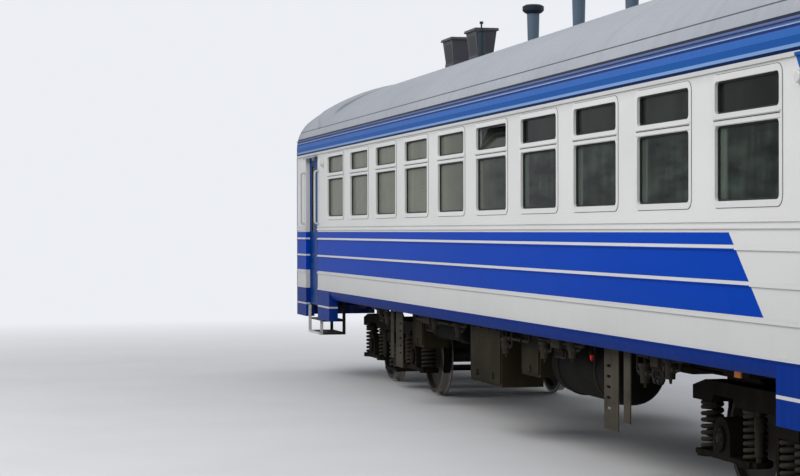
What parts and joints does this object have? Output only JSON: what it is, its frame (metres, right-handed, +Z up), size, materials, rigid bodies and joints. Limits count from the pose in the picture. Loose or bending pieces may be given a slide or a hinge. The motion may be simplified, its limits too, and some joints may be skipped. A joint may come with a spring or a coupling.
{
  "type": "suburban electric train trailer coach",
  "caption": "Broad-gauge suburban electric train trailer coach with ribbed sides, sliding doors, bogies and automatic couplers.",
  "frame": {"origin": "middle of the coach, at the lowest point of the wheel flanges", "axes": "+X towards the near end along the coach, +Y to the coach's left side, +Z up"},
  "size_m": [20.25, 3.624, 4.8293],
  "materials": {
    "underframe": "dusty dark grey-brown paint",
    "side_paint": "gloss light grey with a royal blue band and blue skirt",
    "end_paint": "gloss blue",
    "roof_paint": "weathered light grey",
    "interior_panel": "cream panel",
    "bench_shell": "varnished plywood",
    "rack_metal": "satin",
    "window_frame": "gloss light grey",
    "window_glass": "slightly green, dusty",
    "diaphragm_rubber": "matt",
    "coupler_iron": "dusty, lightly rusted",
    "case_paint": "dusty grey",
    "reservoir_paint": "dusty black",
    "step_steel": "grey with white edges",
    "ventilator_paint": "blue-grey",
    "roof_box_paint": "dark grey",
    "bogie_paint": "dusty dark brown",
    "axle_box_iron": "dusty",
    "spring_steel": "dusty dark paint",
    "door_paint": "gloss blue",
    "visor_paint": "grey",
    "lamp_lens": "dusty ribbed lens",
    "rail_metal": "worn satin",
    "guard_paint": "dusty light grey",
    "brake_paint": "dusty black",
    "wheel_steel": "rolled tread, rusty web"
  },
  "bodies": {
    "coach_body": {"underframe": "underframe", "side_wall_right": "side_paint", "side_wall_left": "side_paint", "end_wall_far": "end_paint", "end_wall_near": "end_paint", "roof_shell": "roof_paint", "vestibule_partitions": "interior_panel", "benches": "bench_shell", "luggage_racks": "rack_metal", "window_frames": "window_frame", "window_panes": "window_glass", "gangway_diaphragms": "diaphragm_rubber", "coupler_far": "coupler_iron", "coupler_near": "coupler_iron", "underfloor_cases": "case_paint", "air_reservoirs": "reservoir_paint", "entry_steps": "step_steel", "roof_ventilators": "ventilator_paint", "roof_boxes": "roof_box_paint", "guard_plates": "guard_paint", "brake_gear": "brake_paint", "train_pipes": "brake_paint", "door_visors": "visor_paint", "side_lamps": "lamp_lens", "grab_rails": "rail_metal", "roof_flues": "ventilator_paint"},
    "bogie_far": {"bogie_frame_far": "bogie_paint", "bogie_bolster_far": "bogie_paint", "axle_boxes_far": "axle_box_iron", "bogie_springs_far": "spring_steel", "bogie_dampers_far": "brake_paint"},
    "wheelset_far_outer": {"wheelset_far_outer": "wheel_steel"},
    "wheelset_far_inner": {"wheelset_far_inner": "wheel_steel"},
    "gangway_door_far": {"gangway_door_far": "door_paint"},
    "door_far_right_a": {"door_far_right_a": "door_paint"},
    "door_far_right_b": {"door_far_right_b": "door_paint"},
    "door_far_left_a": {"door_far_left_a": "door_paint"},
    "door_far_left_b": {"door_far_left_b": "door_paint"},
    "bogie_near": {"bogie_frame_near": "bogie_paint", "bogie_bolster_near": "bogie_paint", "axle_boxes_near": "axle_box_iron", "bogie_springs_near": "spring_steel", "bogie_dampers_near": "brake_paint"},
    "wheelset_near_outer": {"wheelset_near_outer": "wheel_steel"},
    "wheelset_near_inner": {"wheelset_near_inner": "wheel_steel"},
    "gangway_door_near": {"gangway_door_near": "door_paint"},
    "door_near_right_a": {"door_near_right_a": "door_paint"},
    "door_near_right_b": {"door_near_right_b": "door_paint"},
    "door_near_left_a": {"door_near_left_a": "door_paint"},
    "door_near_left_b": {"door_near_left_b": "door_paint"}
  },
  "joints": [
    {"name": "bogie_far_turn", "type": "hinge", "parent": "coach_body", "child": "bogie_far", "pos_m": [-6.15, 0, 1.048], "axis": [0, 0, 1], "range_deg": [-4, 4]},
    {"name": "wheelset_far_outer_roll", "type": "hinge", "parent": "bogie_far", "child": "wheelset_far_outer", "pos_m": [-7.35, 0, 0.503], "axis": [0, 1, 0], "continuous": true},
    {"name": "wheelset_far_inner_roll", "type": "hinge", "parent": "bogie_far", "child": "wheelset_far_inner", "pos_m": [-4.95, 0, 0.503], "axis": [0, 1, 0], "continuous": true},
    {"name": "gangway_door_far_swing", "type": "hinge", "parent": "coach_body", "child": "gangway_door_far", "pos_m": [-9.696, -0.395, 1.6], "axis": [0, 0, -1], "range_deg": [0, 90]},
    {"name": "door_far_right_slide", "type": "slide", "parent": "coach_body", "child": "door_far_right_b", "axis": [1, 0, 0], "range_m": [0, 0.43]},
    {"name": "door_far_right_slide_a", "type": "slide", "parent": "coach_body", "child": "door_far_right_a", "axis": [-1, 0, 0], "range_m": [0, 0.43]},
    {"name": "door_far_left_slide", "type": "slide", "parent": "coach_body", "child": "door_far_left_b", "axis": [1, 0, 0], "range_m": [0, 0.43]},
    {"name": "door_far_left_slide_a", "type": "slide", "parent": "coach_body", "child": "door_far_left_a", "axis": [-1, 0, 0], "range_m": [0, 0.43]},
    {"name": "bogie_near_turn", "type": "hinge", "parent": "coach_body", "child": "bogie_near", "pos_m": [6.15, 0, 1.048], "axis": [0, 0, 1], "range_deg": [-4, 4]},
    {"name": "wheelset_near_outer_roll", "type": "hinge", "parent": "bogie_near", "child": "wheelset_near_outer", "pos_m": [7.35, 0, 0.503], "axis": [0, 1, 0], "continuous": true},
    {"name": "wheelset_near_inner_roll", "type": "hinge", "parent": "bogie_near", "child": "wheelset_near_inner", "pos_m": [4.95, 0, 0.503], "axis": [0, 1, 0], "continuous": true},
    {"name": "gangway_door_near_swing", "type": "hinge", "parent": "coach_body", "child": "gangway_door_near", "pos_m": [9.696, -0.395, 1.6], "axis": [0, 0, 1], "range_deg": [0, 90]},
    {"name": "door_near_right_slide", "type": "slide", "parent": "coach_body", "child": "door_near_right_b", "axis": [1, 0, 0], "range_m": [0, 0.43]},
    {"name": "door_near_right_slide_a", "type": "slide", "parent": "coach_body", "child": "door_near_right_a", "axis": [-1, 0, 0], "range_m": [0, 0.43]},
    {"name": "door_near_left_slide", "type": "slide", "parent": "coach_body", "child": "door_near_left_b", "axis": [1, 0, 0], "range_m": [0, 0.43]},
    {"name": "door_near_left_slide_a", "type": "slide", "parent": "coach_body", "child": "door_near_left_a", "axis": [-1, 0, 0], "range_m": [0, 0.43]}
  ],
  "couplings": [
    {"joint": "door_far_right_slide_a", "follows": "door_far_right_slide", "ratio": 1},
    {"joint": "door_far_left_slide_a", "follows": "door_far_left_slide", "ratio": 1},
    {"joint": "door_near_right_slide_a", "follows": "door_near_right_slide", "ratio": 1},
    {"joint": "door_near_left_slide_a", "follows": "door_near_left_slide", "ratio": 1}
  ]
}
